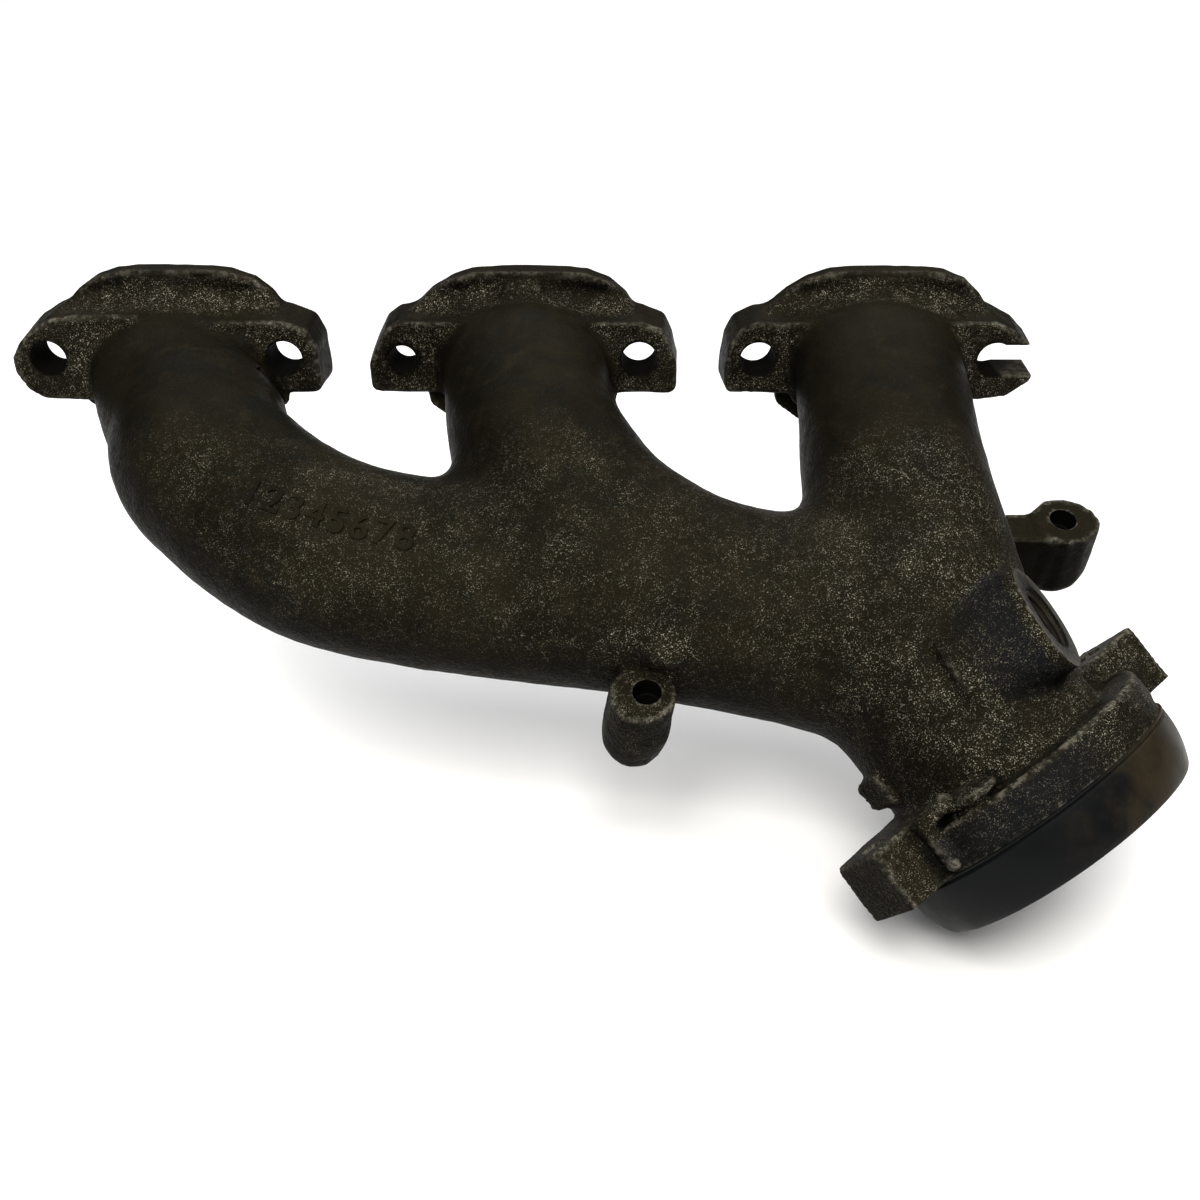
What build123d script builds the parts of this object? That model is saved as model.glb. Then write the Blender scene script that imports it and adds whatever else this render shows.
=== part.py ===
"""Three-port exhaust manifold: a hollow iron casting, divided where its regions meet.

Frame: the origin is the centre of the middle port on the machined port face.
The port face is the plane Y = 0 and the engine lies on its +Y side.
+X runs along the row of ports towards the outlet, and +Z is up.
"""
from build123d import *
import os
from math import cos, radians, sin

# Row of ports
PORT_PITCH = 111.8
BOLT_OFFSET = 37.25
CLEARANCE_HOLE_RADIUS = 5.6
LOCATING_HOLE_RADIUS = 4.35
PLATE_THICKNESS = 6.5
EAR_THICKNESS = 15.0
EAR_END = 49.5
EAR_TOP = 12.3
EAR_BOTTOM = -11.0
EAR_ROOT = 22.0
EAR_SHOULDER = 41.0
EAR_TIP_TOP = 4.0
EAR_ROUNDING = 3.5
LOBE_RADIUS = 11.8
LOBE_CENTRE = -1.5
DOME_TOP = 25.3
DOME_BOTTOM = -24.0
DOME_ROUNDING = 12.0
PORT_HALF_WIDTH = 21.0
PORT_HALF_HEIGHT = 15.0
WALL = 5.0

# Outlet: centre of the seat's end, direction of flow, direction towards the upper ear
OUTLET_CENTRE = Vector(153.7, -131.3, -96.7)
OUTLET_AXIS = Vector(0.602, -0.517, -0.609).normalized()
EAR_GUIDE = Vector(0.748, 0.633, 0.202)
SEAT_LENGTH = 15.0
SEAT_START_RADIUS = 43.0
SEAT_END_RADIUS = 40.0
COLLAR_RADIUS = 43.5
COLLAR_LENGTH = 12.0
SEAT_BULGE = (42.4, -6.5)
OUTLET_BORE_RADIUS = 28.5
SEAT_MOUTH_RADIUS = 31.0
OUTLET_UPPER_EAR_REACH = 59.0
OUTLET_LOWER_EAR_REACH = 56.0
OUTLET_EAR_TIP_HALF_WIDTH = 12.0
OUTLET_EAR_ROOT = 36.0
OUTLET_EAR_ROOT_HALF_WIDTH = 22.0
OUTLET_EAR_START = -33.0
OUTLET_EAR_END = -16.0
OUTLET_BOLT_OFFSET = 48.0
OUTLET_BOLT_RADIUS = 4.25
NECK_START = -44.0

# Sensor boss: M18 x 1.5 thread
SENSOR_CENTRE = Vector(142.3, -116.5, -32.4)
SENSOR_AXIS = Vector(0.73, -0.09, 0.67).normalized()
SENSOR_FACE_RADIUS = 15.0
SENSOR_ROOT_RADIUS = 19.0
SENSOR_HOLE_RADIUS = 9.0
SENSOR_BOSS_LENGTH = 24.0

# Heat shield bosses: blind M8 holes
SHIELD_TILT = 68.0
SHIELD_AXIS = Vector(0.0, -cos(radians(SHIELD_TILT)), sin(radians(SHIELD_TILT)))
SHIELD_LOWER_CENTRE = Vector(38.2, -119.3, -55.0)
SHIELD_LOWER_ROOT = Vector(38.6, -85.0, -55.0)
SHIELD_UPPER_CENTRE = Vector(164.4, -56.4, -35.0)
SHIELD_UPPER_ROOT = Vector(118.0, -74.0, -28.0)
SHIELD_BOSS_RADIUS = 9.0
SHIELD_BOSS_LENGTH = 25.0
SHIELD_HOLE_RADIUS = 4.0
SHIELD_HOLE_DEPTH = 16.0
SHIELD_FOOT_ROUNDING = 5.4
SHIELD_WEB_WIDTH = 11.0
SHIELD_WEB_DEPTH = 14.0
SHIELD_WEB_DROP = 2.0

# Where the casting is divided, and a size larger than any of it
FRONT_CUT = -60.0
COLLECTOR_CUT = 70.0
ELBOW_CUT = 98.0
BEYOND = 600.0

# Stations along each passage: centre, half width, half height
GALLERY = [
    ((-111.8, -6.0, -0.5), 26.0, 18.5),
    ((-105.8, -20.0, -7.5), 26.2, 21.5),
    ((-98.3, -36.0, -13.5), 26.8, 25.0),
    ((-88.5, -56.0, -21.0), 27.3, 27.3),
    ((-57.5, -74.0, -35.0), 27.6, 27.6),
    ((-18.0, -80.0, -42.0), 27.5, 27.5),
    ((34.0, -85.0, -45.2), 28.2, 28.2),
    ((84.0, -92.0, -49.5), 29.8, 29.8),
    ((108.0, -97.5, -56.5), 30.3, 30.3),
]
GALLERY_END = [(-44.0, 32.0), (-30.0, 33.0), (-10.0, 33.5)]
MIDDLE_RUNNER = [
    ((0.0, -6.0, -0.5), 26.0, 19.0),
    ((2.0, -20.0, -5.0), 25.9, 21.5),
    ((4.3, -36.0, -11.0), 26.0, 24.0),
    ((8.5, -51.0, -17.5), 26.5, 26.2),
    ((21.0, -70.0, -28.5), 27.3, 27.3),
    ((38.0, -80.0, -37.5), 26.0, 26.0),
    ((60.0, -87.5, -46.0), 20.0, 20.0),
]
REAR_RUNNER = [
    ((111.8, -6.0, -0.5), 26.0, 19.5),
    ((112.2, -20.0, -4.5), 26.0, 22.0),
    ((112.0, -36.0, -10.5), 26.2, 24.5),
    ((111.6, -53.0, -19.0), 26.8, 26.8),
    ((112.7, -69.0, -28.5), 27.7, 27.7),
    ((115.5, -82.0, -39.0), 28.3, 28.3),
    ((119.0, -92.0, -50.0), 27.0, 27.0),
    ((124.0, -103.0, -63.5), 21.0, 21.0),
]


def outlet_point(along, across=0.0, over=0.0):
    """A point in the outlet's frame: along its axis, towards the upper ear, and over it."""
    return OUTLET_CENTRE + OUTLET_AXIS * along + OUTLET_ACROSS * across + OUTLET_OVER * over


def passage(stations, wall=0.0):
    """A smooth tube through the stations, shrunk by the wall for the inside."""
    centres = [Vector(*centre) for centre, _, _ in stations]
    path = Spline(*centres)
    sections = []
    for centre, half_width, half_height in stations:
        direction = path % path.param_at_point(Vector(*centre))
        side = direction.cross(Vector(0.0, 0.5, -1.0)).normalized()
        plane = Plane(origin=Vector(*centre), x_dir=side, z_dir=direction)
        sections.append(plane * Ellipse(half_width - wall, half_height - wall))
    return loft(sections)


def keep_side(shape, origin, normal):
    """The part of a shape on the side that the normal points to."""
    return split(shape, bisect_by=Plane(origin=origin, z_dir=normal), keep=Keep.TOP)


def plate_outline():
    """Sealing plate: domed top, straight flanks behind the ears, narrower lobe below."""
    points = [
        (-38.0, EAR_BOTTOM), (-38.0, 12.0), (-34.0, 13.3), (-21.5, DOME_TOP), (23.0, DOME_TOP),
        (35.5, 13.3), (39.0, 12.0), (39.0, EAR_BOTTOM), (31.0, -12.5), (30.5, -17.0),
        (21.0, DOME_BOTTOM), (-21.0, DOME_BOTTOM), (-30.5, -17.0), (-31.0, -12.5),
    ]
    outline = make_face(Polyline(*points, close=True))
    shoulders = [v for v in outline.vertices() if abs(v.Y - DOME_TOP) < 0.1]
    return fillet(shoulders, DOME_ROUNDING)


def ear_outline(side, rounded):
    """One bolt ear, seen along the bolts; the rounded one follows its hole."""
    if rounded:
        lobe = Pos(side * BOLT_OFFSET, LOBE_CENTRE) * Circle(LOBE_RADIUS)
        arm = Rectangle(EAR_SHOULDER - EAR_ROOT, 2 * abs(EAR_BOTTOM))
        return lobe + Pos(side * (EAR_ROOT + EAR_SHOULDER) / 2) * arm
    points = [
        (side * EAR_ROOT, EAR_BOTTOM), (side * EAR_ROOT, EAR_TOP), (side * EAR_SHOULDER, EAR_TOP),
        (side * EAR_END, EAR_TIP_TOP), (side * EAR_END, EAR_BOTTOM),
    ]
    outline = make_face(Polyline(*points, close=True))
    corners = [v for v in outline.vertices() if abs(v.X) > EAR_ROOT + 1.0]
    return fillet(corners, EAR_ROUNDING)


def port_flange(port_x, runner, left_hole, right_hole, rounded_left=False, slotted_right=False):
    """Sealing plate with two ears up to the runner, bored for the port and drilled for its bolts."""
    face_plane = Plane(origin=(port_x, 0.0, 0.0), x_dir=(1, 0, 0), z_dir=(0, -1, 0))
    outline = plate_outline()
    flange = extrude(outline, PLATE_THICKNESS)
    flange += extrude(ear_outline(-1, rounded_left), EAR_THICKNESS)
    flange += extrude(ear_outline(1, False), EAR_THICKNESS)
    flange -= extrude(Ellipse(PORT_HALF_WIDTH, PORT_HALF_HEIGHT), PLATE_THICKNESS)
    depth = 2 * EAR_THICKNESS
    flange -= Pos(-BOLT_OFFSET, 0.0, 0.0) * Cylinder(left_hole, 2 * depth)
    flange -= Pos(BOLT_OFFSET, 0.0, 0.0) * Cylinder(right_hole, 2 * depth)
    if slotted_right:
        slot = Box(BOLT_OFFSET, 2 * right_hole, 2 * depth, align=(Align.MIN, Align.CENTER, Align.CENTER))
        flange -= Pos(BOLT_OFFSET, 0.0, 0.0) * slot
    return face_plane * flange - runner


def shield_hole(centre):
    """The blind hole of a heat shield boss."""
    hole = Cylinder(SHIELD_HOLE_RADIUS, SHIELD_HOLE_DEPTH)
    return Plane(origin=centre - SHIELD_AXIS * (SHIELD_HOLE_DEPTH / 2), z_dir=SHIELD_AXIS) * hole


def shield_boss(centre, root):
    """A tapped boss with a rounded foot, tied to the casting by a short web towards its root."""
    plane = Plane(origin=centre, z_dir=SHIELD_AXIS)
    body = Pos(0.0, 0.0, -SHIELD_BOSS_LENGTH / 2) * Cylinder(SHIELD_BOSS_RADIUS, SHIELD_BOSS_LENGTH)
    foot = body.faces().sort_by(Axis.Z)[0]
    body = fillet(foot.edges(), SHIELD_FOOT_ROUNDING)
    body = plane * body
    reach = root - centre
    across = reach - SHIELD_AXIS * reach.dot(SHIELD_AXIS)
    web_plane = Plane(origin=centre - SHIELD_AXIS * SHIELD_WEB_DROP, x_dir=across, z_dir=SHIELD_AXIS)
    web_align = (Align.MIN, Align.CENTER, Align.MAX)
    web = Box(across.length, SHIELD_WEB_WIDTH, SHIELD_WEB_DEPTH, align=web_align)
    body += web_plane * web
    return body - shield_hole(centre)


# Outlet frame: its axis, the direction through both ears, and the direction over them
OUTLET_ACROSS = (EAR_GUIDE - OUTLET_AXIS * EAR_GUIDE.dot(OUTLET_AXIS)).normalized()
OUTLET_OVER = OUTLET_ACROSS.cross(OUTLET_AXIS).normalized() * -1.0
outlet_plane = Plane(origin=OUTLET_CENTRE, x_dir=OUTLET_ACROSS, z_dir=OUTLET_AXIS)
gallery_stations = list(GALLERY)
for along, radius in GALLERY_END:
    gallery_stations.append((tuple(outlet_point(along)), radius, radius))

# Solid passages, outside and inside
gallery_outside = passage(gallery_stations)
gallery_inside = passage(gallery_stations, WALL)
middle_outside = passage(MIDDLE_RUNNER)
middle_inside = passage(MIDDLE_RUNNER, WALL)
rear_outside = passage(REAR_RUNNER)
rear_inside = passage(REAR_RUNNER, WALL)
sensor_plane = Plane(origin=SENSOR_CENTRE, z_dir=SENSOR_AXIS)
sensor_hole = sensor_plane * Cylinder(SENSOR_HOLE_RADIUS, 2 * SENSOR_BOSS_LENGTH)

# Hollow shells
gallery_shell = gallery_outside - gallery_inside - middle_inside - rear_inside
runner_middle = keep_side(middle_outside - gallery_outside - middle_inside, (0, 0, 0), (0, -1, 0))
runner_rear = rear_outside - gallery_outside - rear_inside - sensor_hole

runner_front = keep_side(gallery_shell, (FRONT_CUT, 0, 0), (-1, 0, 0))
runner_front = keep_side(runner_front, (0, 0, 0), (0, -1, 0))
behind_front = keep_side(gallery_shell, (FRONT_CUT, 0, 0), (1, 0, 0))
log_pipe = keep_side(behind_front, (COLLECTOR_CUT, 0, 0), (-1, 0, 0))
behind_log = keep_side(behind_front, (COLLECTOR_CUT, 0, 0), (1, 0, 0))
neck_origin = outlet_point(NECK_START)
collector = keep_side(behind_log, (ELBOW_CUT, 0, 0), (-1, 0, 0)) - sensor_hole
elbow = keep_side(behind_log, (ELBOW_CUT, 0, 0), (1, 0, 0))
collector_elbow = keep_side(elbow, neck_origin, OUTLET_AXIS * -1.0) - sensor_hole
outlet_neck = keep_side(behind_log, neck_origin, OUTLET_AXIS)
outlet_neck = keep_side(outlet_neck, outlet_point(-SEAT_LENGTH), OUTLET_AXIS * -1.0)

# Outlet flange: round collar and two drilled ears round the neck
collar = Pos(0.0, 0.0, -SEAT_LENGTH - COLLAR_LENGTH / 2) * Cylinder(COLLAR_RADIUS, COLLAR_LENGTH)
ear_points = [
    (-OUTLET_LOWER_EAR_REACH, -OUTLET_EAR_TIP_HALF_WIDTH),
    (-OUTLET_LOWER_EAR_REACH, OUTLET_EAR_TIP_HALF_WIDTH),
    (-OUTLET_EAR_ROOT, OUTLET_EAR_ROOT_HALF_WIDTH), (OUTLET_EAR_ROOT, OUTLET_EAR_ROOT_HALF_WIDTH),
    (OUTLET_UPPER_EAR_REACH, OUTLET_EAR_TIP_HALF_WIDTH),
    (OUTLET_UPPER_EAR_REACH, -OUTLET_EAR_TIP_HALF_WIDTH),
    (OUTLET_EAR_ROOT, -OUTLET_EAR_ROOT_HALF_WIDTH), (-OUTLET_EAR_ROOT, -OUTLET_EAR_ROOT_HALF_WIDTH),
]
ears = extrude(make_face(Polyline(*ear_points, close=True)), OUTLET_EAR_END - OUTLET_EAR_START)
outlet_flange = collar + Pos(0.0, 0.0, OUTLET_EAR_START) * ears
for side in (-1, 1):
    outlet_flange -= Pos(side * OUTLET_BOLT_OFFSET, 0.0, 0.0) * Cylinder(OUTLET_BOLT_RADIUS, BEYOND)
outlet_flange = outlet_plane * outlet_flange - gallery_outside

# Outlet seat: a convex ring that the pipe's flare clamps on to
seat_profile = make_face([
    Line((OUTLET_BORE_RADIUS, -SEAT_LENGTH), (SEAT_START_RADIUS, -SEAT_LENGTH)),
    ThreePointArc((SEAT_START_RADIUS, -SEAT_LENGTH), SEAT_BULGE, (SEAT_END_RADIUS, 0.0)),
    Line((SEAT_END_RADIUS, 0.0), (SEAT_MOUTH_RADIUS, 0.0)),
    Line((SEAT_MOUTH_RADIUS, 0.0), (OUTLET_BORE_RADIUS, -SEAT_LENGTH)),
])
outlet_seat = outlet_plane * revolve(Plane.XZ * seat_profile, Axis.Z)

# Sensor boss: a cone with a flat machined face
cone = Cone(SENSOR_ROOT_RADIUS, SENSOR_FACE_RADIUS, SENSOR_BOSS_LENGTH)
cone = Pos(0.0, 0.0, -SENSOR_BOSS_LENGTH / 2) * cone
oxygen_sensor_boss = sensor_plane * cone - sensor_hole - gallery_outside - rear_outside

# Heat shield bosses
shield_boss_lower = shield_boss(SHIELD_LOWER_CENTRE, SHIELD_LOWER_ROOT) - gallery_outside
shield_boss_upper = shield_boss(SHIELD_UPPER_CENTRE, SHIELD_UPPER_ROOT) - gallery_outside - rear_outside

parts = {
    "port_flange_front": port_flange(
        -PORT_PITCH, gallery_outside, CLEARANCE_HOLE_RADIUS, CLEARANCE_HOLE_RADIUS, rounded_left=True),
    "port_flange_middle": port_flange(0.0, middle_outside, LOCATING_HOLE_RADIUS, CLEARANCE_HOLE_RADIUS),
    "port_flange_rear": port_flange(
        PORT_PITCH, rear_outside, CLEARANCE_HOLE_RADIUS, CLEARANCE_HOLE_RADIUS, slotted_right=True),
    "runner_front": runner_front,
    "runner_middle": runner_middle,
    "runner_rear": runner_rear,
    "log_pipe": log_pipe,
    "collector": collector,
    "collector_elbow": collector_elbow,
    "outlet_neck": outlet_neck,
    "outlet_flange": outlet_flange,
    "outlet_seat": outlet_seat,
    "oxygen_sensor_boss": oxygen_sensor_boss,
    "shield_boss_lower": shield_boss_lower,
    "shield_boss_upper": shield_boss_upper,
}

os.makedirs("parts", exist_ok=True)
for name, shape in parts.items():
    export_step(shape, f"parts/{name}.step")
    print(name, len(shape.solids()), round(shape.volume))
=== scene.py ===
import math

import bmesh
import bpy
import numpy as np
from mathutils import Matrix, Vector


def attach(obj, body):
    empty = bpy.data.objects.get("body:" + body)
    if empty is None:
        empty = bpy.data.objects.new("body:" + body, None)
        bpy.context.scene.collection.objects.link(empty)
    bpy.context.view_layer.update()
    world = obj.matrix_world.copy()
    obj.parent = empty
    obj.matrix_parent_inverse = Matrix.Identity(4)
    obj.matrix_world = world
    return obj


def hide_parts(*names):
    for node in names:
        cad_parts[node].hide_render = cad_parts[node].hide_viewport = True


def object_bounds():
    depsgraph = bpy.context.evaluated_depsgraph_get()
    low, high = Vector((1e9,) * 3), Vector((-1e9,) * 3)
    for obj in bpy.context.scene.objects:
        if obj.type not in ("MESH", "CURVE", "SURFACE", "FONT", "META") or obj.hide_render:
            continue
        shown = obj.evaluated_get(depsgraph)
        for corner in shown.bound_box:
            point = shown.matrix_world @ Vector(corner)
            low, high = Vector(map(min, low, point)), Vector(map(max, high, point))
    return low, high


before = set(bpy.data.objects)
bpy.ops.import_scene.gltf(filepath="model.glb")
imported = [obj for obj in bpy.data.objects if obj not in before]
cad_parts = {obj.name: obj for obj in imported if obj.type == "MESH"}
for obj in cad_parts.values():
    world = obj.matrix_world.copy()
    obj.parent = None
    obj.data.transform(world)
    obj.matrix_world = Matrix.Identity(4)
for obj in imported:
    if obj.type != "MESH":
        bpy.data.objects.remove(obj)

cad_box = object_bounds()

# ---------------------------------------------------------------------------
# Driving dimensions. The shape code works in millimetres, in the CAD frame.
# ---------------------------------------------------------------------------
MM = 0.001
PORT_PITCH = 111.8
BOLT_OFFSET = 37.25
CLEARANCE_RADIUS = 5.6
LOCATING_RADIUS = 4.35
EAR_THICKNESS = 15.0
WALL = 5.0

# Outlet: heights are along its axis, from the middle of its mouth
OUTLET_CENTRE = np.array([153.7, -131.3, -96.7])
OUTLET_AXIS = np.array([0.602, -0.517, -0.609])
EAR_GUIDE = np.array([0.748, 0.633, 0.202])
COLLAR_RADIUS = 43.5
OUTLET_FACE = -16.0
OUTLET_BOLT_OFFSET = 48.0
OUTLET_BOLT_RADIUS = 4.25
# Turned seat: (radius, height) up to the groove at its foot, then a convex flank, then its mouth
SEAT_FOOT = [
    (28.5, -16.0), (42.9, -16.0), (43.3, -15.8), (43.3, -15.3), (42.9, -15.0), (42.7, -14.9), (42.9, -14.7),
]
SEAT_WIDE, SEAT_NARROWING = 43.2, 3.2
SEAT_LOW, SEAT_RISE = -14.3, 13.9
SEAT_MOUTH = [(39.5, 0.2), (38.8, 0.4), (31.6, 0.4), (31.0, -0.2), (28.5, -15.0)]

SENSOR_CENTRE = np.array([142.3, -116.5, -32.4])
SENSOR_AXIS = np.array([0.73, -0.09, 0.67])
SENSOR_FACE_RADIUS = 14.9
SENSOR_SPOT_RADIUS = 24.0
SENSOR_HOLE_DEPTH = 26.0
SENSOR_THREAD_RADIUS = 9.0
SENSOR_THREAD_LENGTH = 20.0
SENSOR_THREAD_DEPTH = 0.85
SENSOR_PITCH = 1.5

# The casting number runs through three points on the log's skin
NUMBER_PATH = np.array([(-69.7, -88.4, -10.2), (-47.6, -93.7, -16.0), (-24.5, -97.0, -20.3)])
NUMBER_HEIGHT = 7.6

SHIELD_TILT = math.radians(68.0)
SHIELD_AXIS = np.array([0.0, -math.cos(SHIELD_TILT), math.sin(SHIELD_TILT)])
SHIELD_LOWER = np.array([38.2, -119.3, -55.0])
SHIELD_UPPER = np.array([164.4, -56.4, -35.0])
SHIELD_HOLE_DEPTH = 16.0
SHIELD_THREAD_RADIUS = 4.0
SHIELD_THREAD_START = 5.0
SHIELD_THREAD_LENGTH = 9.0
SHIELD_THREAD_DEPTH = 0.6
SHIELD_PITCH = 1.25

# Grid steps for the skin and for the passages, and grid cells to a block
OUTSIDE_PITCH = 1.15
INSIDE_PITCH = 2.2
BLOCK = 4

# Studio, in metres, degrees and watts
FLOOR_REACH = 12.0
FLOOR_GAP = 0.0005
CEILING_PLACE = (0.0, 1.2, 2.2)
CEILING_TARGET = (0.0, 1.2, 0.0)
CEILING_SIZE = (5.0, 5.0)
CEILING_POWER = 150.0
KEY_PLACE = (-0.05, -0.66, 0.66)
KEY_TARGET = (0.03, -0.09, -0.05)
KEY_SIZE = (0.5, 0.35)
KEY_POWER = 11.0
KEY_COLOR = (1.0, 0.98, 0.93)
WORLD_STRENGTH = 0.12
CAMERA_PLACE = (0.0275, -0.4164, 0.1494)
CAMERA_TILT = 30.6
CAMERA_TURN = 0.37
CAMERA_LENS = 40.2

# Stations along each passage: centre, half width, half height
GALLERY = [
    ((-111.8, 0.0, 0.0), 26.0, 18.5),
    ((-109.6, -13.0, -6.8), 26.0, 18.8),
    ((-104.4, -25.0, -11.8), 26.4, 21.8),
    ((-98.3, -36.0, -14.8), 26.8, 24.4),
    ((-88.5, -56.0, -21.0), 27.3, 27.3),
    ((-57.5, -74.0, -35.0), 27.6, 27.6),
    ((-18.0, -80.0, -42.0), 27.5, 27.5),
    ((34.0, -85.0, -45.2), 28.2, 28.2),
    ((84.0, -92.0, -49.5), 29.8, 29.8),
    ((108.0, -97.5, -56.5), 30.3, 30.3),
]
GALLERY_END = [(-44.0, 32.0), (-31.0, 32.2), (-10.0, 33.0)]
MIDDLE_RUNNER = [
    ((0.0, -6.0, -0.5), 26.0, 19.0),
    ((2.0, -20.0, -5.0), 25.9, 21.5),
    ((4.3, -36.0, -11.0), 26.0, 24.0),
    ((8.5, -51.0, -17.5), 26.5, 26.2),
    ((21.0, -70.0, -28.5), 27.3, 27.3),
    ((38.0, -80.0, -37.5), 26.0, 26.0),
    ((60.0, -87.5, -46.0), 20.0, 20.0),
]
REAR_RUNNER = [
    ((111.8, -6.0, -0.5), 26.0, 19.5),
    ((112.2, -20.0, -4.5), 26.0, 22.0),
    ((112.0, -36.0, -10.5), 26.2, 24.5),
    ((111.6, -53.0, -19.0), 26.8, 26.8),
    ((112.7, -69.0, -28.5), 27.7, 27.7),
    ((115.5, -82.0, -39.0), 28.3, 28.3),
    ((119.0, -92.0, -50.0), 27.0, 27.0),
    ((123.0, -101.0, -62.0), 18.5, 18.5),
]

# Flange outlines in the plane of the ports, before they are rounded outwards
PLATE_OUTLINE = [
    (-35.0, 8.5), (-32.0, 11.0), (-26.0, 16.6), (-20.5, 20.0), (-14.5, 21.9), (-9.0, 22.3),
    (14.5, 22.3), (20.0, 21.8), (26.3, 19.3), (30.8, 15.4), (33.5, 11.0), (36.0, 9.0),
    (36.0, -8.0), (28.0, -9.5), (27.0, -15.0), (19.0, -21.0), (-19.0, -21.0), (-27.0, -15.0),
    (-28.0, -9.5), (-35.0, -8.0),
]
PLATE_ROUNDING = 3.0
PLATE_DEPTHS = (5.8, 7.0, 5.8)
# Ears, outward from the hole's centre. The draft widens them towards the ports.
EAR_ROUNDING = 3.1
EAR_DRAFT = 0.05
EAR_TOP_DRAFT = 0.03
EAR_ROUND = [
    (-28.6, 11.0), (-12.0, 11.2), (-3.5, 9.9), (2.0, 6.8), (6.4, 3.0), (9.0, -1.2), (8.8, -4.6),
    (6.6, -8.8), (3.0, -11.0), (-8.0, -11.6), (-28.6, -11.4),
]
EAR_SLOTTED = [
    (-30.0, -9.0), (-30.0, 9.2), (-1.5, 9.6), (4.5, 6.8), (9.0, 2.6), (9.6, 0.0), (9.6, -5.6),
    (3.8, -9.6), (-4.5, -10.8), (-12.0, -10.0),
]
# For each other ear, by port and side, how far it reaches: at the bottom, and above the middle
EAR_REACHES = {(-1, 1): (11.3, 8.6), (0, -1): (11.1, 5.8), (0, 1): (12.2, 8.2), (1, -1): (10.6, 7.2)}
# Radius of the raised bead between each ear's front and the runner
BEAD_RADII = {(-1, -1): 0.0, (-1, 1): 3.2, (0, -1): 1.6, (0, 1): 2.4, (1, -1): 1.8, (1, 1): 1.6}


def unit(vector):
    return np.asarray(vector, float) / np.linalg.norm(vector)


OUTLET_AXIS = unit(OUTLET_AXIS)
OUTLET_ACROSS = unit(EAR_GUIDE - OUTLET_AXIS * (EAR_GUIDE @ OUTLET_AXIS))
OUTLET_OVER = np.cross(OUTLET_ACROSS, OUTLET_AXIS) * -1.0
OUTLET_AXES = [OUTLET_AXIS, OUTLET_ACROSS, OUTLET_OVER]
SENSOR_AXIS = unit(SENSOR_AXIS)
SHIELD_SLOPE = np.cross(SHIELD_AXIS, [1.0, 0.0, 0.0])


def outlet_point(along, across=0.0, over=0.0):
    """A point in the outlet's frame: along its axis, towards the upper ear, and over it."""
    return OUTLET_CENTRE + OUTLET_AXIS * along + OUTLET_ACROSS * across + OUTLET_OVER * over


# ---------------------------------------------------------------------------
# Distance functions: negative inside the metal
# ---------------------------------------------------------------------------
def smooth_min(a, b, k):
    """Union with a cast fillet about k across."""
    blend = np.maximum(k - np.abs(a - b), 0.0) / k
    return np.minimum(a, b) - blend * blend * k * 0.25


def smooth_max(a, b, k):
    return -smooth_min(-a, -b, k)


def catmull_rom(stations, spacing):
    """Points close together along a smooth curve through the stations' rows."""
    rows = np.array(stations, float)
    rows = np.vstack([2 * rows[0] - rows[1], rows, 2 * rows[-1] - rows[-2]])
    pieces = []
    for i in range(1, len(rows) - 2):
        before, start, end, after = rows[i - 1:i + 3]
        count = max(2, int(np.linalg.norm(end[:3] - start[:3]) / spacing))
        t = np.linspace(0.0, 1.0, count, endpoint=False)[:, None]
        pieces.append(0.5 * (2 * start + (end - before) * t
                             + (2 * before - 5 * start + 4 * end - after) * t ** 2
                             + (3 * start - before - 3 * end + after) * t ** 3))
    pieces.append(rows[-2][None])
    return np.vstack(pieces)


class Passage:
    """A tube of oval section that follows its stations, straight on past its start."""

    def __init__(self, stations, closed_end):
        rows = [(*centre, width, height) for centre, width, height in stations]
        curve = catmull_rom(rows, 2.5)
        self.centre = curve[:, :3]
        self.width = curve[:, 3]
        self.height = curve[:, 4]
        tangent = np.gradient(self.centre, axis=0)
        step = np.linalg.norm(tangent, axis=1, keepdims=True)
        self.tangent = tangent / step
        self.bend = np.gradient(self.tangent, axis=0) / step
        self.widening = np.gradient(self.width) / step[:, 0]
        self.heightening = np.gradient(self.height) / step[:, 0]
        self.closed_end = closed_end

    def distance(self, points, shrink=0.0):
        nearest = ((self.centre ** 2).sum(1) - 2.0 * points @ self.centre.T).argmin(1)
        offset = points - self.centre[nearest]
        tangent, bend = self.tangent[nearest], self.bend[nearest]
        along = (offset * tangent).sum(1)
        if self.closed_end:
            past = np.where(nearest == len(self.centre) - 1, np.maximum(along, 0.0), 0.0)
        else:
            past = 0.0
        # slide along the bend to the foot of the perpendicular, so that the wall has no steps
        slide = np.clip(along / np.maximum(1.0 - (offset * bend).sum(1), 0.4), -1.6, 1.6)[:, None]
        if self.closed_end:
            slide[(nearest == len(self.centre) - 1) & (along > 0.0)] = 0.0
        offset = offset - tangent * slide - 0.5 * bend * slide ** 2
        tangent = tangent + bend * slide
        side = np.cross(tangent, [0.0, 0.5, -1.0])
        side /= np.linalg.norm(side, axis=1, keepdims=True)
        x = (offset * side).sum(1)
        y = (offset * np.cross(side, tangent)).sum(1)
        w = self.width[nearest] + self.widening[nearest] * slide[:, 0] - shrink
        h = self.height[nearest] + self.heightening[nearest] * slide[:, 0] - shrink
        k0 = np.sqrt((x / w) ** 2 + (y / h) ** 2 + (past / h) ** 2)
        k1 = np.sqrt((x / w ** 2) ** 2 + (y / h ** 2) ** 2 + (past / h ** 2) ** 2)
        return k0 * (k0 - 1.0) / np.maximum(k1, 1e-9)


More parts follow.
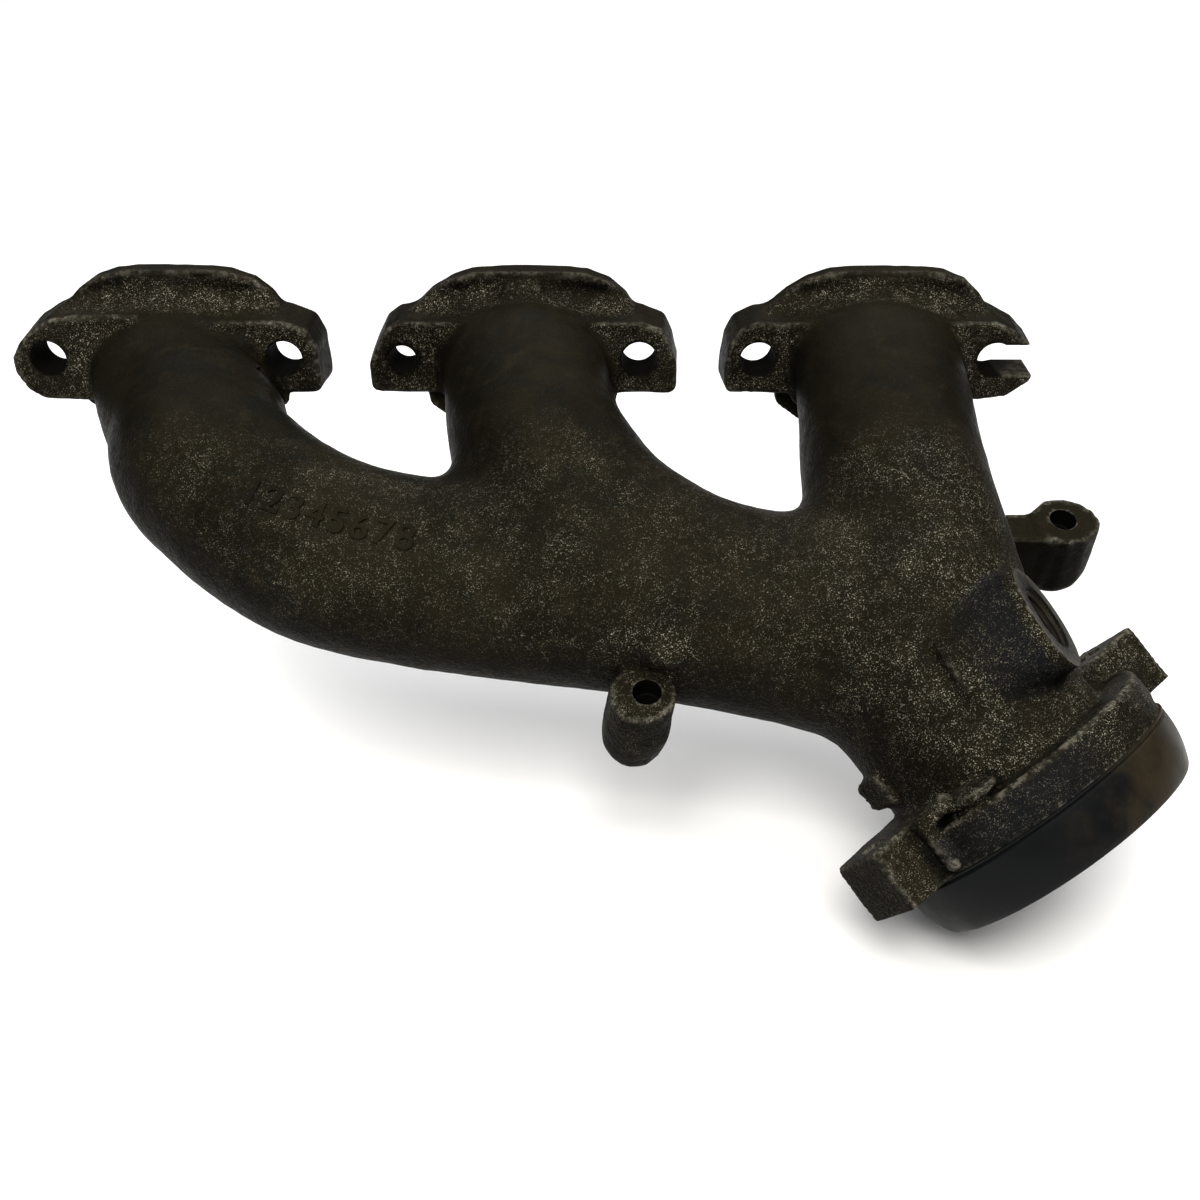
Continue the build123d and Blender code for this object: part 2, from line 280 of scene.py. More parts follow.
def polygon_distance(x, z, outline):
    """Signed distance to a closed outline."""
    corners = np.array(outline, float)
    nearest = np.full(x.shape, 1e18)
    sign = np.ones(x.shape)
    for i in range(len(corners)):
        a, b = corners[i], corners[i - 1]
        edge = b - a
        wx, wz = x - a[0], z - a[1]
        t = np.clip((wx * edge[0] + wz * edge[1]) / (edge @ edge), 0.0, 1.0)
        nearest = np.minimum(nearest, (wx - edge[0] * t) ** 2 + (wz - edge[1] * t) ** 2)
        above, below, left = z >= a[1], z < b[1], edge[0] * wz > edge[1] * wx
        sign = np.where((above & below & left) | (~above & ~below & ~left), -sign, sign)
    return sign * np.sqrt(nearest)


def slab(flat, level, low, high, rounding):
    """An outline given depth from low to high, its edges rounded."""
    a = flat + rounding
    b = np.maximum(low - level, level - high) + rounding
    return np.minimum(np.maximum(a, b), 0.0) + np.hypot(np.maximum(a, 0.0), np.maximum(b, 0.0)) - rounding


def ellipsoid(points, centre, axes, radii):
    local = (points - centre) @ np.array(axes, float).T
    k0 = np.sqrt(((local / radii) ** 2).sum(1))
    k1 = np.sqrt(((local / np.square(radii)) ** 2).sum(1))
    return k0 * (k0 - 1.0) / np.maximum(k1, 1e-9)


def capsule(points, start, end, radius):
    run = end - start
    t = np.clip((points - start) @ run / (run @ run), 0.0, 1.0)
    return np.linalg.norm(points - start - t[:, None] * run, axis=1) - radius


lattice = np.random.default_rng(7).random((32, 32, 32)) * 2.0 - 1.0


def noise(points, size):
    """Smooth value noise between -1 and 1, with features about the given size."""
    q = points / size
    cell = np.floor(q).astype(np.int64)
    f = q - cell
    f = f * f * (3.0 - 2.0 * f)
    total = 0.0
    for dx in (0, 1):
        for dy in (0, 1):
            for dz in (0, 1):
                corner = (cell + (dx, dy, dz)) % 32
                weight = (np.abs(1 - dx - f[:, 0]) * np.abs(1 - dy - f[:, 1]) * np.abs(1 - dz - f[:, 2]))
                total = total + weight * lattice[corner[:, 0], corner[:, 1], corner[:, 2]]
    return total


gallery_rows = list(GALLERY)
for along, radius in GALLERY_END:
    gallery_rows.append((tuple(outlet_point(along)), radius, radius))
gallery = Passage(gallery_rows, closed_end=False)
middle_runner = Passage(MIDDLE_RUNNER, closed_end=True)
rear_runner = Passage(REAR_RUNNER, closed_end=True)


def pipes(points, shrink=0.0):
    """The three runners and the log, merged with wide cast fillets."""
    merge = 12.0 if shrink == 0.0 else 6.0
    body = smooth_min(gallery.distance(points, shrink), middle_runner.distance(points, shrink), merge)
    return smooth_min(body, rear_runner.distance(points, shrink), merge)


def ease(value, low, high):
    t = np.clip((value - low) / (high - low), 0.0, 1.0)
    return t * t * (3.0 - 2.0 * t)


def ear_outline(index, side):
    if (index, side) == (-1, -1):
        return EAR_ROUND
    if (index, side) == (1, 1):
        return EAR_SLOTTED
    bottom, middle = EAR_REACHES[index, side]
    return [(-30.0, -8.6), (-30.0, 9.3), (0.2, 9.3), (middle - 2.8, 7.3), (middle - 0.7, 3.4),
            (bottom - 3.1, -3.0), (bottom - 3.1, -8.6)]


def flange_depth(x, z, index):
    """How far the domed plate stands out: a hollow under its top edge, then a foot on the ears."""
    hollow = 1.4 + 0.6 * (index == 0) * np.abs(np.clip(x / 18.0, -1.0, 1.0))
    foot = np.clip((z - 12.5) / 5.0, 0.0, 1.0)
    depth = PLATE_DEPTHS[index + 1] - hollow * np.exp(-((z - 18.4) / 3.2) ** 2)
    return depth + 4.5 * (1.0 - np.sqrt(1.0 - (1.0 - foot) ** 2))


def flange(points, pipe, index):
    """One port flange: domed plate with a hollowed front that sweeps out to two thick ears."""
    x, y, z = points[:, 0] - index * PORT_PITCH, points[:, 1], points[:, 2]
    outline = polygon_distance(x, z, PLATE_OUTLINE) - PLATE_ROUNDING
    body = slab(outline, y, -flange_depth(x, z, index), 4.0, 1.3)
    if index == 0:
        pad = slab(np.maximum(np.abs(x - 0.7) - 5.3, np.abs(z - 15.0) - 6.4), y, -8.6, 0.0, 1.2)
        body = smooth_min(body, pad, 1.8)
        for groove in (-6.3, 7.7):
            notch = np.hypot(x - groove, y + 8.0) - 1.5
            body = smooth_max(body, -np.maximum(notch, np.abs(z - 19.0) - 4.5), 1.5)
    draft = EAR_DRAFT + EAR_TOP_DRAFT * ease(z, 2.0, 9.0)
    for side in (-1, 1):
        out = (x - side * BOLT_OFFSET) * side
        ear = polygon_distance(out, z, ear_outline(index, side)) - EAR_ROUNDING - draft * (y + 7.5)
        body = smooth_min(body, slab(ear, y, -EAR_THICKNESS, 4.0, 0.9), 2.5)
        # raised bead where the ear's front meets the runner
        radius = BEAD_RADII[index, side]
        if radius > 0.0:
            bead = np.hypot(pipe - 0.5 * radius, y + EAR_THICKNESS - 0.45 * radius) - radius
            bead = smooth_max(bead, np.maximum(12.0 - side * x, np.abs(z + 4.0) - 12.0), 3.0)
            body = smooth_min(body, bead, 1.2)
    return body


def shield_boss(points, centre, outline, length, lean):
    """A faceted column with a rounded foot, under the tapped face."""
    local = points - centre
    depth = -(local @ SHIELD_AXIS)
    slope = local @ SHIELD_SLOPE
    flat = polygon_distance(local[:, 0] + lean * depth, slope, 0.82 * np.array(outline)) - 2.2
    below = np.maximum(depth - length + 9.0, 0.0) * 1.1
    foot = np.linalg.norm(np.stack([local[:, 0] + 0.5 * lean * length, slope, below], 1), axis=1) - 11.0
    return smooth_max(slab(flat, depth, 0.0, length + 2.0, 0.8), foot, 2.0)


LOWER_BOSS = [
    (-9.3, 2.5), (-8.9, -4.0), (-6.3, -7.9), (-1.7, -9.1), (3.6, -7.2), (6.6, -4.2), (7.6, -0.6),
    (6.9, 3.3), (3.8, 6.4), (-0.5, 7.5), (-5.6, 6.9),
]
UPPER_BOSS = [
    (-7.4, 3.6), (-7.8, -4.2), (-5.2, -7.2), (0.0, -8.3), (5.6, -7.1), (9.8, -3.6), (11.2, -0.4),
    (10.0, 3.0), (6.2, 6.4), (1.4, 7.9), (-3.7, 7.2),
]
UPPER_WEB = [(-34.0, -7.6), (-34.0, 1.2), (-6.0, 2.6), (-4.0, -7.6)]
UPPER_EAR = [(30.0, -11.0), (30.0, 10.0), (58.0, 9.0), (57.0, -10.5)]
LOWER_EAR = [(-30.0, -14.0), (-30.0, 11.0), (-54.8, 9.6), (-54.6, -10.6)]


def outlet_flange(points, pipe):
    """Collar and two ears round the neck, with the small lumps of the casting between them."""
    local = points - OUTLET_CENTRE
    h, u, v = local @ OUTLET_AXIS, local @ OUTLET_ACROSS, local @ OUTLET_OVER
    radius = np.hypot(u, v)
    band = slab(radius - COLLAR_RADIUS + 0.3, h, -27.4, -19.0, 1.0)
    collar = smooth_min(band, slab(radius - COLLAR_RADIUS + 0.9, h, -26.0, -8.0, 0.6), 0.8)
    upper = slab(polygon_distance(u, v, UPPER_EAR) - 1.0, h, -34.0, -14.6, 1.0)
    lower = slab(polygon_distance(u, v, LOWER_EAR) - 1.0, h, -33.0, -14.2, 1.2)
    body = smooth_min(smooth_min(collar, upper, 1.5), lower, 2.0)
    corner = outlet_point(-31.0, -40.5, 13.5)
    rib = capsule(points, corner, outlet_point(-19.0, -41.5, 15.5), 2.2)
    curl = capsule(points, corner, outlet_point(-32.5, -35.0, 19.5), 2.4)
    body = smooth_min(smooth_min(body, rib, 2.0), curl, 2.0)
    body = smooth_min(pipe, body, 1.6)
    lump = ellipsoid(points, outlet_point(-30.0, -28.5, 19.5), OUTLET_AXES, (2.6, 6.5, 12.0))
    lug_flat = np.maximum(np.abs(u + 31.0) - 3.0, np.abs(v + 8.0) - 6.0)
    body = smooth_min(body, lump, 1.6)
    return smooth_min(body, slab(lug_flat, h, -46.5, -37.0, 2.0), 3.0)


def casting(points):
    """Distance to the outside of the casting, before it is machined."""
    pipe = pipes(points)
    body = pipe.copy()
    front = points[:, 1] > -32.0
    if front.any():
        for index in (-1, 0, 1):
            near = front & (np.abs(points[:, 0] - index * PORT_PITCH) < 62.0)
            if near.any():
                part = flange(points[near], pipe[near], index)
                body[near] = smooth_min(body[near], part, 2.6 + 4.0 * ease(points[near][:, 2], 9.0, 16.0))
    near = np.linalg.norm(points - OUTLET_CENTRE, axis=1) < 90.0
    if near.any():
        body[near] = outlet_flange(points[near], body[near])
    near = np.linalg.norm(points - SENSOR_CENTRE, axis=1) < 42.0
    if near.any():
        local = points[near] - SENSOR_CENTRE
        depth = -(local @ SENSOR_AXIS)
        radius = np.linalg.norm(local + depth[:, None] * SENSOR_AXIS, axis=1)
        cone = slab(radius - (SENSOR_FACE_RADIUS + 0.16 * np.clip(depth, 0.0, 25.0)), depth, -1.5, 25.0, 1.6)
        body[near] = smooth_min(body[near], cone, 3.0)
    near = np.linalg.norm(points - SHIELD_LOWER, axis=1) < 45.0
    if near.any():
        boss = shield_boss(points[near], SHIELD_LOWER, LOWER_BOSS, 28.0, 0.14)
        web = capsule(points[near], SHIELD_LOWER + (-1.0, 5.0, -15.0), np.array([38.0, -98.0, -60.0]), 7.0)
        boss = smooth_min(boss, web, 4.0)
        body[near] = smooth_min(body[near], boss, 1.6)
        lump = ellipsoid(points[near], np.array([42.8, -114.6, -45.0]), np.eye(3), (6.5, 4.5, 4.5))
        body[near] = smooth_min(body[near], lump, 3.0)
    near = np.linalg.norm(points - SHIELD_UPPER, axis=1) < 60.0
    if near.any():
        boss = shield_boss(points[near], SHIELD_UPPER, UPPER_BOSS, 27.0, -0.09)
        local = points[near] - SHIELD_UPPER
        slope = local @ SHIELD_SLOPE
        depth = -(local @ SHIELD_AXIS)
        web = slab(polygon_distance(local[:, 0], slope, UPPER_WEB) - 0.5, depth, 0.3, 22.0, 1.0)
        body[near] = smooth_min(body[near], smooth_min(boss, web, 2.5), 3.0)
    body = body + 0.22 * noise(points, 9.0) + 0.10 * noise(points, 3.1)
    along = (points - OUTLET_CENTRE) @ OUTLET_AXIS
    return np.maximum(body, np.maximum(points[:, 1] - 3.0, along + 9.0))


def cavity(points):
    """Distance to the inside of the passages, which runs out past the ports and the outlet."""
    body = pipes(points, WALL) + 0.25 * noise(points, 8.0)
    along = (points - OUTLET_CENTRE) @ OUTLET_AXIS
    return np.maximum(body, np.maximum(points[:, 1] - 8.0, along + 4.0))


# ---------------------------------------------------------------------------
# Mesh from a distance function
# ---------------------------------------------------------------------------
def in_batches(function, points, batch=120000):
    out = np.empty(len(points))
    for start in range(0, len(points), batch):
        out[start:start + batch] = function(points[start:start + batch])
    return out


def sample_field(function, low, high, pitch):
    """Distances on a grid. Only blocks near the surface are worked out in full."""
    low = np.array(low, float)
    blocks = np.ceil((np.array(high) - low) / (pitch * BLOCK)).astype(int)
    index = np.stack(np.meshgrid(*[np.arange(n) for n in blocks], indexing="ij"), -1).reshape(-1, 3)
    middle = in_batches(function, low + (index * BLOCK + BLOCK / 2) * pitch)
    field = np.repeat(np.repeat(np.repeat(middle.reshape(blocks), BLOCK, 0), BLOCK, 1), BLOCK, 2)
    close = index[np.abs(middle) < 1.3 * BLOCK * pitch]
    steps = np.stack(np.meshgrid(*[np.arange(BLOCK)] * 3, indexing="ij"), -1).reshape(-1, 3)
    cells = (close[:, None, :] * BLOCK + steps[None]).reshape(-1, 3)
    field[cells[:, 0], cells[:, 1], cells[:, 2]] = in_batches(function, low + cells * pitch)
    return field


def surface_net(function, low, high, pitch, polish=2):
    """Closed quad mesh of the zero surface: one vertex in each cell that the surface crosses."""
    field = sample_field(function, low, high, pitch)
    inside = field < 0.0
    count = np.zeros(np.array(field.shape) - 1, np.int8)
    corners = [(dx, dy, dz) for dx in (0, 1) for dy in (0, 1) for dz in (0, 1)]
    nx, ny, nz = count.shape
    for dx, dy, dz in corners:
        count += inside[dx:dx + nx, dy:dy + ny, dz:dz + nz]
    cells = np.argwhere((count > 0) & (count < 8))
    values = np.stack([field[cells[:, 0] + c[0], cells[:, 1] + c[1], cells[:, 2] + c[2]] for c in corners], 1)
    total = np.zeros((len(cells), 3))
    crossings = np.zeros(len(cells))
    for i, a in enumerate(corners):
        for j, b in enumerate(corners):
            if i < j and sum(abs(p - q) for p, q in zip(a, b)) == 1:
                crossed = (values[:, i] < 0) != (values[:, j] < 0)
                t = np.where(crossed, values[:, i] / np.where(crossed, values[:, i] - values[:, j], 1.0), 0.0)
                total += crossed[:, None] * (np.array(a) + t[:, None] * (np.array(b) - np.array(a)))
                crossings += crossed
    vertices = np.array(low, float) + (cells + total / crossings[:, None]) * pitch
    number = np.full(count.shape, -1, np.int64)
    number[tuple(cells.T)] = np.arange(len(cells))
    faces = []
    for axis in range(3):
        others = [a for a in range(3) if a != axis]
        edges = np.argwhere(np.diff(inside, axis=axis))
        across = edges[:, others]
        edges = edges[((across > 0) & (across < np.array(count.shape)[others])).all(1)]
        ring = []
        for da, db in ((1, 1), (0, 1), (0, 0), (1, 0)):
            cell = edges.copy()
            cell[:, others[0]] -= da
            cell[:, others[1]] -= db
            ring.append(number[tuple(cell.T)])
        quads = np.stack(ring, 1)
        start_inside = inside[tuple(edges.T)]
        turned = start_inside if axis != 1 else ~start_inside
        quads[~turned] = quads[~turned][:, ::-1]
        faces.append(quads)
    for _ in range(polish):
        step = 0.4 * pitch
        here = in_batches(function, vertices)
        slope = np.stack([in_batches(function, vertices + step * row) - here for row in np.eye(3)], 1) / step
        length = np.maximum((slope ** 2).sum(1, keepdims=True), 0.25)
        vertices -= np.clip(here, -pitch, pitch)[:, None] * slope / length
    return vertices, np.vstack(faces)


def new_object(name, vertices, faces):
    mesh = bpy.data.meshes.new(name)
    mesh.from_pydata((np.asarray(vertices, float) * MM).tolist(), [], [list(map(int, f)) for f in faces])
    mesh.validate()
    obj = bpy.data.objects.new(name, mesh)
    bpy.context.scene.collection.objects.link(obj)
    return obj


def frame_of(axis):
    """Three directions at right angles, the last along the axis."""
    axis = unit(axis)
    side = unit(np.cross(axis, [0.0, 0.0, 1.0] if abs(axis[2]) < 0.9 else [1.0, 0.0, 0.0]))
    return side, np.cross(axis, side), axis


def lathe(name, origin, axis, profile, segments=96):
    """A closed solid turned about an axis from (radius, height) pairs, a ring if none is on the axis."""
    side, other, axis = frame_of(axis)
    angles = np.linspace(0.0, 2.0 * np.pi, segments, endpoint=False)
    ring = np.cos(angles)[:, None] * side + np.sin(angles)[:, None] * other
    vertices, rows = [], []
    for radius, height in profile:
        if radius == 0.0:
            rows.append([len(vertices)] * segments)
            vertices.append(origin + axis * height)
        else:
            rows.append(list(range(len(vertices), len(vertices) + segments)))
            vertices.extend(origin + axis * height + radius * ring)
    faces = []
    on_axis = profile[0][0] == 0.0
    pairs = list(zip(rows, rows[1:])) + ([] if on_axis else [(rows[-1], rows[0])])
    for low, high in pairs:
        for i in range(segments):
            j = (i + 1) % segments
            corners = [low[i], low[j], high[j], high[i]]
            faces.append([c for n, c in enumerate(corners) if c not in corners[:n]])
    obj = new_object(name, vertices, faces)
    make_outward(obj)
    return obj


def make_outward(obj):
    mesh = bmesh.new()
    mesh.from_mesh(obj.data)
    bmesh.ops.recalc_face_normals(mesh, faces=mesh.faces)
    mesh.to_mesh(obj.data)
    mesh.free()


def cut(obj, cutter):
    """Takes the cutter's solid out of the object and deletes the cutter."""
    modifier = obj.modifiers.new("cut", "BOOLEAN")
    modifier.operation = "DIFFERENCE"
    modifier.solver = "MANIFOLD"
    modifier.object = cutter
    bpy.context.view_layer.objects.active = obj
    bpy.ops.object.modifier_apply(modifier=modifier.name)
    mesh = cutter.data
    bpy.data.objects.remove(cutter)
    bpy.data.meshes.remove(mesh)


def hole(origin, axis, radius, above, below, chamfer=0.0):
    """A drill's shape: from above its mouth to a depth below it, chamfered at its mouth if asked."""
    mouth = [(radius, above)]
    if chamfer > 0.0:
        mouth = [(radius + chamfer + above, above), (radius + chamfer, 0.0), (radius, -chamfer)]
    return lathe("drill", origin, axis, [(0.0, above), *mouth, (radius, -below), (0.0, -below)])


def box_cutter(low, high):
    vertices = [(x, y, z) for x in (low[0], high[0]) for y in (low[1], high[1]) for z in (low[2], high[2])]
    faces = [(0, 1, 3, 2), (4, 6, 7, 5), (0, 4, 5, 1), (2, 3, 7, 6), (0, 2, 6, 4), (1, 5, 7, 3)]
    obj = new_object("box", vertices, faces)
    make_outward(obj)
    return obj


# ---------------------------------------------------------------------------
# The casting, cast then machined
# ---------------------------------------------------------------------------
def port_bolts():
    """Each bolt hole of the ports: its centre and its radius."""
    bolts = []
    for index in (-1, 0, 1):
        for side in (-1, 1):
            radius = LOCATING_RADIUS if (index, side) == (0, -1) else CLEARANCE_RADIUS
            bolts.append((np.array([index * PORT_PITCH + side * BOLT_OFFSET, 0.0, 0.0]), radius))
    return bolts


def mesh_piece(name, function, low, high, pitch):
    vertices, faces = surface_net(function, low, high, pitch)
    obj = new_object(name, vertices, faces)
    make_outward(obj)
    return obj


def make_casting():
    low = np.array(cad_box[0]) / MM - 7.0
    high = np.array(cad_box[1]) / MM + 7.0
    high[1] += 6.0
    obj = mesh_piece("manifold_casting", casting, low, high, OUTSIDE_PITCH)
    cut(obj, mesh_piece("cavity", cavity, low, high + (0.0, 6.0, 0.0), INSIDE_PITCH))
    cut(obj, box_cutter((-400.0, 0.0, -200.0), (400.0, 60.0, 200.0)))
    end = [(0.0, OUTLET_FACE), (70.0, OUTLET_FACE), (70.0, 30.0), (0.0, 30.0)]
    cut(obj, lathe("outlet_end", OUTLET_CENTRE, OUTLET_AXIS, end))
    for centre, radius in port_bolts():
        cut(obj, hole(centre, (0.0, 1.0, 0.0), radius, 1.0, 30.0, 0.5))
    slot_x = PORT_PITCH + BOLT_OFFSET
    slot_low = (slot_x, -30.0, 0.3 - CLEARANCE_RADIUS)
    cut(obj, box_cutter(slot_low, (slot_x + 40.0, 3.0, CLEARANCE_RADIUS - 0.7)))
    for side in (-1, 1):
        centre = outlet_point(OUTLET_FACE, side * OUTLET_BOLT_OFFSET)
        cut(obj, hole(centre, OUTLET_AXIS, OUTLET_BOLT_RADIUS, 1.0, 40.0))
    spot = [(0.0, 0.0), (SENSOR_SPOT_RADIUS, 0.0), (SENSOR_SPOT_RADIUS, 12.0), (0.0, 12.0)]
    cut(obj, lathe("spot", SENSOR_CENTRE, SENSOR_AXIS, spot))
    cut(obj, hole(SENSOR_CENTRE, SENSOR_AXIS, SENSOR_THREAD_RADIUS, 1.0, SENSOR_HOLE_DEPTH, 0.8))
    for centre in (SHIELD_LOWER, SHIELD_UPPER):
        cut(obj, hole(centre, SHIELD_AXIS, SHIELD_THREAD_RADIUS, 2.0, SHIELD_HOLE_DEPTH))
    return obj


def vectors(items, name):
    """One vector for each vertex or face."""
    flat = np.empty(len(items) * 3)
    items.foreach_get(name, flat)
    return flat.reshape(-1, 3)


def from_axis(place, origin, axis):
    """Height along an axis, and distance from it."""
    local = place - origin
    height = local @ axis
    return height, np.linalg.norm(local - height[:, None] * axis, axis=1)


TAPPED_HOLES = [
    (SENSOR_CENTRE, SENSOR_AXIS, SENSOR_THREAD_RADIUS),
    (SHIELD_LOWER, SHIELD_AXIS, SHIELD_THREAD_RADIUS),
    (SHIELD_UPPER, SHIELD_AXIS, SHIELD_THREAD_RADIUS),
]


def smooth(obj, sharp_from):
    """Smooth shading, but for edges that turn by more than so many degrees."""
    obj.data.polygons.foreach_set("use_smooth", np.ones(len(obj.data.polygons), bool))
    obj.data.set_sharp_from_angle(angle=math.radians(sharp_from))


def sort_faces(obj):
    """Cast skin in slot 0, port faces in slot 1, walls of holes in slot 2 (near-black, painted shade), with
    crisp edges.
    """
    mesh = obj.data
    centre = vectors(mesh.polygons, "center") / MM
    normal = vectors(mesh.polygons, "normal")
    port_face = (np.abs(centre[:, 1]) < 0.02) & (normal[:, 1] > 0.99)
    drilled = np.zeros(len(centre), bool)
    for origin, radius in port_bolts():
        away = np.hypot(centre[:, 0] - origin[0], centre[:, 2])
        drilled |= (away < radius + 0.55) & (centre[:, 1] > -17.0) & (np.abs(normal[:, 1]) < 0.85)
    for origin, axis, radius in TAPPED_HOLES:
        height, away = from_axis(centre, origin, axis)
        wall = (height > -SENSOR_HOLE_DEPTH) & (height < 0.1) & (normal @ axis < 0.5)
        drilled |= wall & (away < radius + 0.85)
    slots = np.where(port_face, 1, np.where(drilled, 2, 0))
    mesh.polygons.foreach_set("material_index", slots.astype(np.int32))
    smooth(obj, 38.0)


def sharpness(mesh, place, normal):
    """How far each vertex stands proud of its neighbours, as a share of the distance to them."""
    pairs = np.empty(len(mesh.edges) * 2, np.int64)
    mesh.edges.foreach_get("vertices", pairs)
    a, b = pairs.reshape(-1, 2).T
    both, other = np.concatenate([a, b]), np.concatenate([b, a])
    count = np.maximum(np.bincount(both, minlength=len(place)), 1)
    step = place[other] - place[both]
    length = np.bincount(both, np.linalg.norm(step, axis=1), len(place))
    proud = -np.bincount(both, (step * normal[both]).sum(1), len(place)) / np.maximum(length, 1e-6)
    return 0.5 * proud + 0.5 * np.bincount(both, proud[other], len(place)) / count


def edge_wear_and_painted_shade(mesh, place, normal):
    """How worn each vertex is, on convex edges, and how much painted shade it gets: in hollows, underneath,
    on faces turned left or away from the upper ear, and in holes.
    """
    depth = 2.6
    edge = in_batches(casting, place - normal * depth) / depth + 1.0
    wear = ease(edge, 0.07, 0.24) * ease(sharpness(mesh, place, normal), 0.06, 0.20)
    wear *= 1.0 - 0.6 * ease(place[:, 2], 18.0, 22.0)
    # painted shade: darker in hollows, on undersides, and on faces turned left or away from the upper ear
    painted_shade = ease(1.0 - in_batches(casting, place + normal * 3.0) / 3.0, 0.12, 0.8)
    painted_shade = np.maximum(painted_shade, 0.8 * ease(-normal[:, 2], -0.3, 0.45))
    painted_shade = np.maximum(painted_shade, 0.55 * ease(-normal[:, 0], 0.0, 0.8))
    painted_shade = np.maximum(painted_shade, 0.85 * ease(-(normal @ OUTLET_ACROSS), 0.7, 0.95))
    out_of_port = np.array([0.0, 1.0, 0.0])
    bolts = [(centre, out_of_port, CLEARANCE_RADIUS) for centre, _ in port_bolts()]
    # inside the holes: no wear and full painted shade
    for origin, axis, radius in TAPPED_HOLES[1:] + bolts:
        height, away = from_axis(place, origin, axis)
        inside = (away < radius + 0.3) & (height < -0.6) & (height > -30.0)
        wear[inside] = 0.0
        painted_shade[inside] = 1.0
    return wear, painted_shade


def mark_surface(obj):
    """Stores four shares at each vertex for the materials: wear, sand, painted shade and cool."""
    mesh = obj.data
    place = vectors(mesh.vertices, "co") / MM
    normal = vectors(mesh.vertices, "normal")
    wear, painted_shade = edge_wear_and_painted_shade(mesh, place, normal)
    x, y, z = place.T
    nearest_port = x - PORT_PITCH * np.clip(np.round(x / PORT_PITCH), -1, 1)
    ear_front = ease(-normal[:, 1], 0.75, 0.92) * ease(-y, 12.0, 14.0) * ease(16.8 - np.abs(y), 0.0, 0.6)
    cove = ease(z, 12.0, 14.5) * ease(23.6 - z, 0.0, 1.2) * ease(-y, 2.0, 4.0) * ease(14.0 + y, 0.0, 4.0)
    gas_pipe = ease(-y, 62.0, 84.0) * (0.35 + 0.4 * ease(x, 60.0, 100.0))
    outlet = ease(80.0 - np.linalg.norm(place - OUTLET_CENTRE, axis=1), 0.0, 20.0)
    boss = ease(21.0 - np.linalg.norm(place - SHIELD_LOWER, axis=1), 0.0, 4.0)
    boss = np.maximum(boss, ease(26.0 - np.linalg.norm(place - SENSOR_CENTRE, axis=1), 0.0, 5.0))
    sand = np.maximum.reduce([ear_front, cove * (np.abs(nearest_port) < 36.0), gas_pipe, outlet, boss])
    height, beside = from_axis(place, SENSOR_CENTRE, SENSOR_AXIS)
    sand[(np.abs(height) < 0.05) & (beside < 17.0)] = 0.0
    cool = ease(19.0 - beside, 0.0, 3.0) * ease(-height, 1.5, 4.0) * ease(26.0 + height, 0.0, 8.0)
    from_outlet = place - OUTLET_CENTRE
    band = ease(from_outlet @ OUTLET_AXIS, -27.0, -25.0) * ease(-(from_outlet @ OUTLET_ACROSS), -4.0, 16.0)
    cool = np.maximum(cool, 0.8 * band * ease(46.0 + from_outlet @ OUTLET_ACROSS, 0.0, 4.0))
    for name, values in (("wear", wear), ("sand", sand), ("painted_shade", painted_shade), ("cool", cool)):
        attribute = mesh.attributes.new(name, "FLOAT", "POINT")
        attribute.data.foreach_set("value", values.astype(np.float32))


def make_thread(name, origin, axis, radius, pitch, length, depth):
    """The crests and roots of a tapped thread, as a sleeve in the hole's wall."""
    side, other, axis = frame_of(axis)
    segments, steps = 72, 8
    rows = int(length / pitch * steps)
    angle = np.linspace(0.0, 2.0 * np.pi, segments, endpoint=False)
    height = -0.7 - np.arange(rows)[:, None] * pitch / steps
    phase = (height / pitch + angle[None] / (2.0 * np.pi)) % 1.0
    crest = np.clip(1.6 - np.abs(phase - 0.5) * 4.0, 0.0, 1.0)
    run_in = np.clip((-0.7 - height) / pitch, 0.0, 1.0)
    inner = radius - depth * crest * run_in
    direction = np.cos(angle)[:, None] * side + np.sin(angle)[:, None] * other
    middle = origin + axis * height[:, :, None]
    ring_inner = middle + inner[:, :, None] * direction[None]
    ring_outer = middle + (radius + 0.4) * direction[None]
    vertices = np.vstack([ring_inner.reshape(-1, 3), ring_outer.reshape(-1, 3)])
    faces = []
    outer = rows * segments
    for j in range(rows - 1):
        for i in range(segments):
            k = (i + 1) % segments
            a, b = j * segments + i, j * segments + k
            c, d = b + segments, a + segments
            faces.append((a, b, c, d))
            faces.append((outer + d, outer + c, outer + b, outer + a))
    for j in (0, rows - 1):
        for i in range(segments):
            k = (i + 1) % segments
            a, b = j * segments + i, j * segments + k
            faces.append((a, outer + a, outer + b, b))
    obj = new_object(name, vertices, faces)
    make_outward(obj)
    smooth(obj, 50.0)
    return obj


def make_shield_thread(name, centre):
    start = centre - SHIELD_THREAD_START * SHIELD_AXIS
    size = (SHIELD_THREAD_RADIUS, SHIELD_PITCH, SHIELD_THREAD_LENGTH, SHIELD_THREAD_DEPTH)
    return make_thread(name, start, SHIELD_AXIS, *size)


def make_seat():
    t = np.arange(13) / 12.0
    flank = list(zip(SEAT_WIDE - SEAT_NARROWING * t ** 2.2, SEAT_LOW + SEAT_RISE * t))
    obj = lathe("seat_ring", OUTLET_CENTRE, OUTLET_AXIS, SEAT_FOOT + flank + SEAT_MOUTH, 192)
    smooth(obj, 28.0)
    return obj


